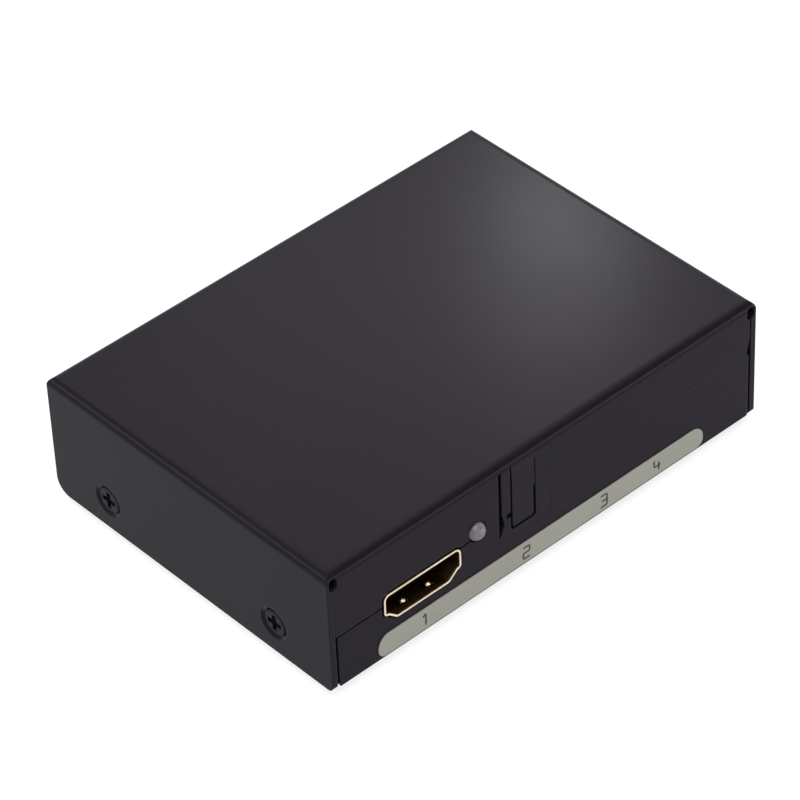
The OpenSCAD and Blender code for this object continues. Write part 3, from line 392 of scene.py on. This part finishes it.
# Each CAD material gets the look of its name, and each HDMI shell a look of its own
finishes = {
    look.name.removesuffix("_look"): look
    for look in (
        case_finish("case_paint", (0.0120, 0.0092, 0.0150), (0.0135, 0.0104, 0.0168)),
        case_finish("base_paint", (0.0118, 0.0090, 0.0148), (0.0132, 0.0102, 0.0164)),
        moulded(
            "black_screw", (0.0085, 0.0070, 0.0105), (0.0150, 0.0125, 0.0180), rough=(0.24, 0.36),
            specular=0.07, grain_scale=3000.0, depth=0.00001, radius=0.00008,
        ),
        strip_finish("label_silver"),
        rubber_finish("foot_rubber"),
        board_finish("board_green"),
        metal("bright_metal", (0.62, 0.61, 0.59), (0.78, 0.77, 0.75), rough=(0.22, 0.36)),
        moulded(
            "port_plastic", (0.018, 0.018, 0.015), (0.026, 0.025, 0.021), rough=(0.38, 0.50),
            specular=0.15,
        ),
        metal("contact_gold", (0.80, 0.52, 0.20), (0.92, 0.66, 0.30), rough=(0.20, 0.32)),
        moulded(
            "housing_plastic", (0.0116, 0.0090, 0.0144), (0.0136, 0.0106, 0.0168), rough=(0.24, 0.32),
            specular=0.06, depth=0.00001,
        ),
        moulded(
            "shutter_plastic", (0.0112, 0.0088, 0.0140), (0.0130, 0.0102, 0.0162), rough=(0.24, 0.32),
            specular=0.065, depth=0.00001,
        ),
        moulded(
            "emitter_plastic", (0.020, 0.018, 0.020), (0.035, 0.030, 0.034), rough=(0.15, 0.25),
            specular=0.5,
        ),
        lens_finish("light_lens"),
        moulded("phenolic_brown", (0.070, 0.032, 0.014), (0.110, 0.052, 0.024), rough=(0.40, 0.55)),
        moulded(
            "knob_plastic", (0.010, 0.010, 0.010), (0.020, 0.020, 0.020), rough=(0.26, 0.40),
            specular=0.45,
        ),
        moulded(
            "chip_resin", (0.012, 0.012, 0.013), (0.022, 0.022, 0.023), rough=(0.50, 0.66),
            specular=0.35,
        ),
        metal("can_aluminium", (0.60, 0.61, 0.62), (0.74, 0.75, 0.76), rough=(0.28, 0.42)),
        moulded(
            "ferrite_grey", (0.050, 0.050, 0.052), (0.085, 0.085, 0.088), rough=(0.55, 0.72),
            specular=0.35,
        ),
    )
}
port_looks = {name: port_finish(name) for name in ("hdmi_out_shell", "hdmi_in_shell")}
for name, node in nodes.items():
    for index, slot in enumerate(node.material_slots):
        key = slot.material.name.split(".")[0]
        node.data.materials[index] = port_looks[name] if name in port_looks else finishes[key]

# Printed digits of the strip: their sizes, and their strokes in shares of the height
digit_height = 0.0021
digit_width = digit_height * 0.6
stroke_width = 0.00030
ink_thickness = 0.00004
corner_share = 0.14
corner_steps = 4
digit_stroke_shares = {
    "1": [[(0.15, 0.78), (0.40, 1.0), (0.40, 0.0)]],
    "2": [[(0.0, 1.0), (0.6, 1.0), (0.6, 0.5), (0.0, 0.5), (0.0, 0.0), (0.6, 0.0)]],
    "3": [[(0.0, 1.0), (0.6, 1.0), (0.6, 0.0), (0.0, 0.0)], [(0.12, 0.5), (0.6, 0.5)]],
    "4": [[(0.0, 1.0), (0.0, 0.42), (0.6, 0.42)], [(0.45, 0.72), (0.45, 0.0)]],
}

# The digits' middle lies just below the middle of the strip. Two of them stand under the front sockets
strip_low, strip_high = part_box("label_strip")
digits_drop = 0.0001
digits_z = (strip_low.z + strip_high.z) / 2.0 - digits_drop
third_digit_x = 0.0106
fourth_digit_x = 0.0215


def middle_x(node):
    low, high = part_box(node)
    return (low.x + high.x) / 2.0


digit_places = {
    "1": middle_x("hdmi_out_shell"),
    "2": middle_x("optical_housing"),
    "3": third_digit_x,
    "4": fourth_digit_x,
}


def eased_path(points):
    """The stroke's points with each inner corner cut by a short arc."""
    path = [Vector(points[0])]
    for before, corner, after in zip(points, points[1:], points[2:]):
        corner = Vector(corner)
        start = corner + (Vector(before) - corner).normalized() * corner_share
        end = corner + (Vector(after) - corner).normalized() * corner_share
        for step in range(corner_steps + 1):
            share = step / corner_steps
            path.append(start.lerp(corner, share).lerp(corner.lerp(end, share), share))
    path.append(Vector(points[-1]))
    return path


def stroke_faces(mesh, path, half, place):
    """A ribbon with square ends along a path, each point put in space by place()."""
    sides = []
    for index, point in enumerate(path):
        back = path[max(index - 1, 0)]
        ahead = path[min(index + 1, len(path) - 1)]
        along = (ahead - back).normalized()
        across = Vector((-along.y, along.x)) * half
        sides.append((mesh.verts.new(place(point + across)), mesh.verts.new(place(point - across))))
    for (left, right), (next_left, next_right) in zip(sides, sides[1:]):
        mesh.faces.new((left, next_left, next_right, right))


def printed_digit(digit, x, ink):
    """A digit of ink with its middle at x, half its thickness proud of the strip's front face."""

    def place(point):
        across = point.x * digit_height - digit_width / 2.0
        up = (point.y - 0.5) * digit_height
        return (x + across, strip_low.y, digits_z + up)

    mesh = bmesh.new()
    for points in digit_stroke_shares[digit]:
        stroke_faces(mesh, eased_path(points), stroke_width / 2.0 / digit_height, place)
    bmesh.ops.recalc_face_normals(mesh, faces=mesh.faces)
    piece = add_mesh("strip_mark_" + digit, mesh)
    solid = piece.modifiers.new("ink_layer", "SOLIDIFY")
    solid.thickness = ink_thickness
    solid.offset = 0.0
    piece.data.materials.append(ink)
    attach(piece, "case")


dark_ink = ink_finish("dark_ink")
for digit, x in digit_places.items():
    printed_digit(digit, x, dark_ink)


# Surroundings: white to look at, and a little darker for the light that falls on the object
def seen_white(graph, plain, white):
    """A shader that is white to the camera, in reflections and through glass, and plain to other light."""
    path = graph.add("ShaderNodeLightPath")
    seen = graph.combine("MAXIMUM", path.outputs["Is Camera Ray"], path.outputs["Is Glossy Ray"])
    seen = graph.combine("MAXIMUM", seen, path.outputs["Is Transmission Ray"])
    return graph.mix_shaders(seen, plain, white)


# The floor, a hair below the feet so that it shares no plane with them. It shows white, with shadows
floor_half_width = 3.0
floor_squares = 8
floor_gap = 0.00002
floor_mesh = bmesh.new()
bmesh.ops.create_grid(floor_mesh, x_segments=floor_squares, y_segments=floor_squares, size=floor_half_width)
floor = add_mesh("floor", floor_mesh)
floor.location.z = -floor_gap
floor_graph = look_graph("floor")
pale = floor_graph.shader("ShaderNodeBsdfDiffuse", Color=(0.72, 0.72, 0.72))
shaded = floor_graph.shader("ShaderNodeBsdfDiffuse", Color=(0.30, 0.30, 0.30))
glow = floor_graph.shader("ShaderNodeEmission", Strength=0.80)
lit = floor_graph.add("ShaderNodeAddShader")
floor_graph.put(shaded, lit.inputs[0])
floor_graph.put(glow, lit.inputs[1])
floor.data.materials.append(floor_graph.end(seen_white(floor_graph, pale, lit.outputs["Shader"])))

# The world. The studio's open side, at the front right, is dark where the object reflects it
opening_direction = Vector((0.50, -0.66, 0.55)).normalized()
opening_cosines = (0.920, 0.985)
opening_strengths = (1.0, 0.06)
pure_white = (1.0, 1.0, 1.0)
world_graph = Graph(bpy.data.worlds.new("studio"), "ShaderNodeOutputWorld")
fill = world_graph.shader("ShaderNodeBackground", Color=pure_white, Strength=0.45)
backdrop = world_graph.shader("ShaderNodeBackground", Color=pure_white, Strength=1.0)
direction = world_graph.add("ShaderNodeTexCoord").outputs["Generated"]
nearness = world_graph.vectors("DOT_PRODUCT", direction, opening_direction)
opening = world_graph.spread(nearness, opening_cosines, opening_strengths, easing="SMOOTHSTEP")
sides = world_graph.shader("ShaderNodeBackground", Color=pure_white, Strength=opening)
in_reflections = world_graph.add("ShaderNodeLightPath").outputs["Is Glossy Ray"]
elsewhere = seen_white(world_graph, fill, backdrop)
scene.world = world_graph.end(world_graph.mix_shaders(in_reflections, elsewhere, sides))


# Lamps
def softbox(name, place, target, size, power):
    """A rectangular lamp that the camera doesn't see. Its size is width and height, its power in watts."""
    data = bpy.data.lights.new(name, "AREA")
    data.shape = "RECTANGLE"
    data.size, data.size_y = size
    data.energy = power
    lamp = add_object(name, data)
    aim(lamp, place, target)
    lamp.visible_camera = False


# The bright spot on the top, the glow around it and the wide sheen towards it
softbox("back_spot", (0.328, 0.306, 0.358), (0.034, 0.001, 0.022), (0.03, 0.03), 0.08)
softbox("back_glow", (0.456, 0.548, 0.589), (0.005, 0.014, 0.022), (0.14, 0.10), 0.085)
softbox("back_softbox", (0.450, 0.580, 0.570), (0.0, 0.0, 0.022), (0.90, 0.60), 1.2)

# The sheen of the top's front and left side, and of the left bend and the front wall
softbox("over_front_softbox", (0.424, 0.145, 0.677), (0.0, -0.03, 0.022), (0.40, 0.40), 0.75)
softbox("over_left_softbox", (0.038, 0.496, 0.646), (-0.042, 0.0, 0.022), (0.36, 0.36), 0.55)
softbox("bend_softbox", (-0.44, 0.353, 0.235), (-0.040, 0.0, 0.020), (0.20, 0.20), 0.42)
softbox("low_softbox", (0.24, -0.43, 0.030), (0.0, -0.03, 0.020), (0.30, 0.05), 0.35)

# The even light from above, and a little more on the left wall
softbox("top_softbox", (-0.25, -0.30, 0.90), (0.0, 0.0, 0.01), (0.7, 0.7), 4.8)
softbox("left_softbox", (-0.85, 0.15, 0.45), (0.0, 0.0, 0.01), (0.5, 0.5), 0.30)
